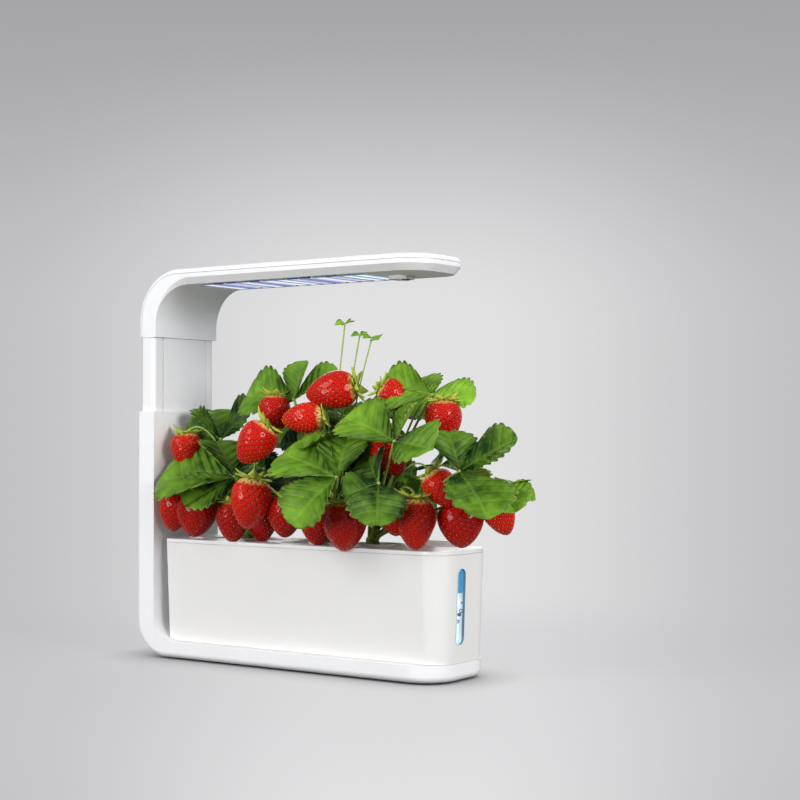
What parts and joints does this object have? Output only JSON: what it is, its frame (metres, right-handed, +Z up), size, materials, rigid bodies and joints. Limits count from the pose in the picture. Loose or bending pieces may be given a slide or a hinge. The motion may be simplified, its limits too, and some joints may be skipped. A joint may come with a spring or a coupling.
{
  "type": "countertop hydroponic garden",
  "caption": "C-shaped indoor garden with a height-adjustable grow light over a pull-out water tank and lift-out planting deck of fruiting strawberry plants.",
  "frame": {"origin": "under the middle rubber foot, on the table, at the middle of the stand's length and depth", "axes": "+X along the garden from the post to the free end, -Y towards the front, +Z up"},
  "size_m": [0.456, 0.2209, 0.4],
  "materials": {
    "white_abs": "satin white moulded ABS",
    "offwhite_abs": "satin off-white ABS",
    "tank_abs": "warm off-white ABS",
    "rubber": "matt grey silicone rubber",
    "steel": "plain stainless steel",
    "circuit_board": "green solder resist",
    "black_plastic": "matt black",
    "pad": "slippery acetal",
    "brass": "plated brass",
    "board_white": "coated aluminium board",
    "led_white": "opal diffuser, white light",
    "led_violet": "opal diffuser, violet light",
    "led_lavender": "opal diffuser, lavender light",
    "grey_plastic": "light grey ABS",
    "clear_window": "clear polycarbonate",
    "pump_plastic": "dark grey ABS",
    "float_blue": "cyan blue plastic",
    "impeller_plastic": "orange acetal",
    "basket_plastic": "dark grey polypropylene",
    "sponge": "brown growing sponge",
    "foliage": "strawberry leaves and stalks",
    "fruit": "ripe strawberries"
  },
  "bodies": {
    "base": {"base_frame": "white_abs", "bottom_cover": "offwhite_abs", "rubber_feet": "rubber", "cover_screws": "steel", "control_board": "circuit_board", "power_jack": "black_plastic", "guide_collar": "white_abs", "collar_pads": "pad", "dock_contacts": "brass"},
    "lamp_mast": {"mast_tube": "offwhite_abs", "mast_strip": "offwhite_abs", "mast_stop": "pad", "mast_bolts": "steel", "lamp_bottom_shell": "white_abs", "lamp_top_shell": "white_abs", "light_board": "board_white", "bars_white": "led_white", "bars_violet": "led_violet", "bars_lavender": "led_lavender", "board_screws": "steel", "lamp_driver": "circuit_board", "sensor_pod": "grey_plastic", "sensor_lens": "black_plastic"},
    "button": {"power_button": "grey_plastic"},
    "tank": {"water_tank": "tank_abs", "level_window": "clear_window", "window_seal": "rubber", "float_guide": "offwhite_abs", "tank_contacts": "brass", "pump_body": "pump_plastic", "pump_filter": "black_plastic", "pump_feet": "rubber", "outlet_tube": "pump_plastic"},
    "float": {"level_float": "float_blue"},
    "impeller": {"pump_impeller": "impeller_plastic"},
    "deck": {"planting_deck": "offwhite_abs", "net_pot_1": "basket_plastic", "net_pot_2": "basket_plastic", "net_pot_3": "basket_plastic", "hole_caps": "offwhite_abs", "grow_sponges": "sponge", "plant_1": "foliage", "plant_2": "foliage", "plant_3": "foliage", "berries_1": "fruit", "berries_2": "fruit", "berries_3": "fruit", "flap_pin": "steel"},
    "flap": {"fill_flap": "offwhite_abs"}
  },
  "joints": [
    {"name": "lamp_slide", "type": "slide", "parent": "base", "child": "lamp_mast", "axis": [0, 0, 1], "range_m": [-0.028, 0.06]},
    {"name": "power_button_press", "type": "slide", "parent": "lamp_mast", "child": "button", "axis": [0, 0, 1], "range_m": [0, 0.0008], "stiffness_N_per_m": 800},
    {"name": "tank_pull", "type": "slide", "parent": "base", "child": "tank", "axis": [0, -1, 0], "range_m": [0, 0.13]},
    {"name": "float_rise", "type": "slide", "parent": "tank", "child": "float", "axis": [0.0367, 0, 0.9993], "range_m": [-0.045, 0]},
    {"name": "impeller_spin", "type": "hinge", "parent": "tank", "child": "impeller", "pos_m": [-0.1, 0, 0.0383], "axis": [1, 0, 0], "continuous": true},
    {"name": "deck_lift", "type": "slide", "parent": "tank", "child": "deck", "axis": [0, 0, 1], "range_m": [0, 0.02]},
    {"name": "fill_flap_hinge", "type": "hinge", "parent": "deck", "child": "flap", "pos_m": [0.139, 0.0326, 0.1253], "axis": [-1, 0, 0], "range_deg": [0, 100]}
  ]
}
